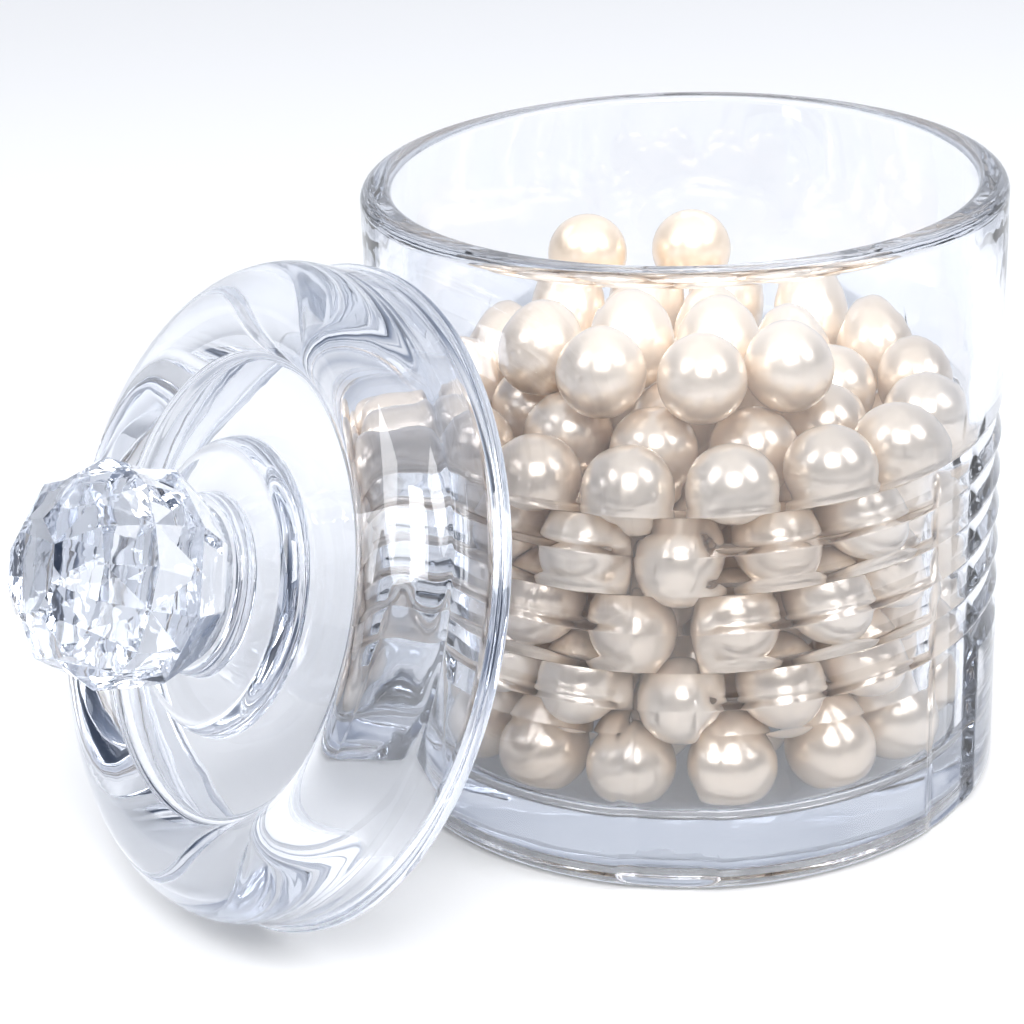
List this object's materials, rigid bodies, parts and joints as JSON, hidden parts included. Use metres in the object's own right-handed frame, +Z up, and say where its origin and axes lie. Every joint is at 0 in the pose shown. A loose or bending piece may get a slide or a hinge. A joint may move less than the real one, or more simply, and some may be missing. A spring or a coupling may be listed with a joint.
{
  "type": "powder jar",
  "caption": "Pressed-glass vanity jar with horizontal ribs between upright flutes, its knobbed lid leaning on the side, filled with loose round pearls.",
  "frame": {"origin": "centre of the jar's foot, at table height", "axes": "+Z up along the jar's axis, -Y towards the jar's front flute; the lid leans on the side between -X and -Y"},
  "size_m": [0.1528, 0.147, 0.103],
  "materials": {
    "glass": "clear pressed glass with a faint cool lavender-grey tint and a fire-polished surface",
    "pearl": "glossy ivory pearl coat with a warm cream rim shading"
  },
  "bodies": {
    "jar": {"jar": "glass", "pearls_layer_1": "pearl", "pearls_layer_2": "pearl", "pearls_layer_3": "pearl", "pearls_layer_4": "pearl", "pearls_layer_5": "pearl", "pearls_heap": "pearl"},
    "lid": {"lid": "glass", "knob": "glass"}
  },
  "joints": [
    {"name": "lid_pull", "type": "slide", "parent": "jar", "child": "lid", "axis": [-0.7152, -0.6001, 0.3584], "range_m": [0, 0.12]}
  ]
}
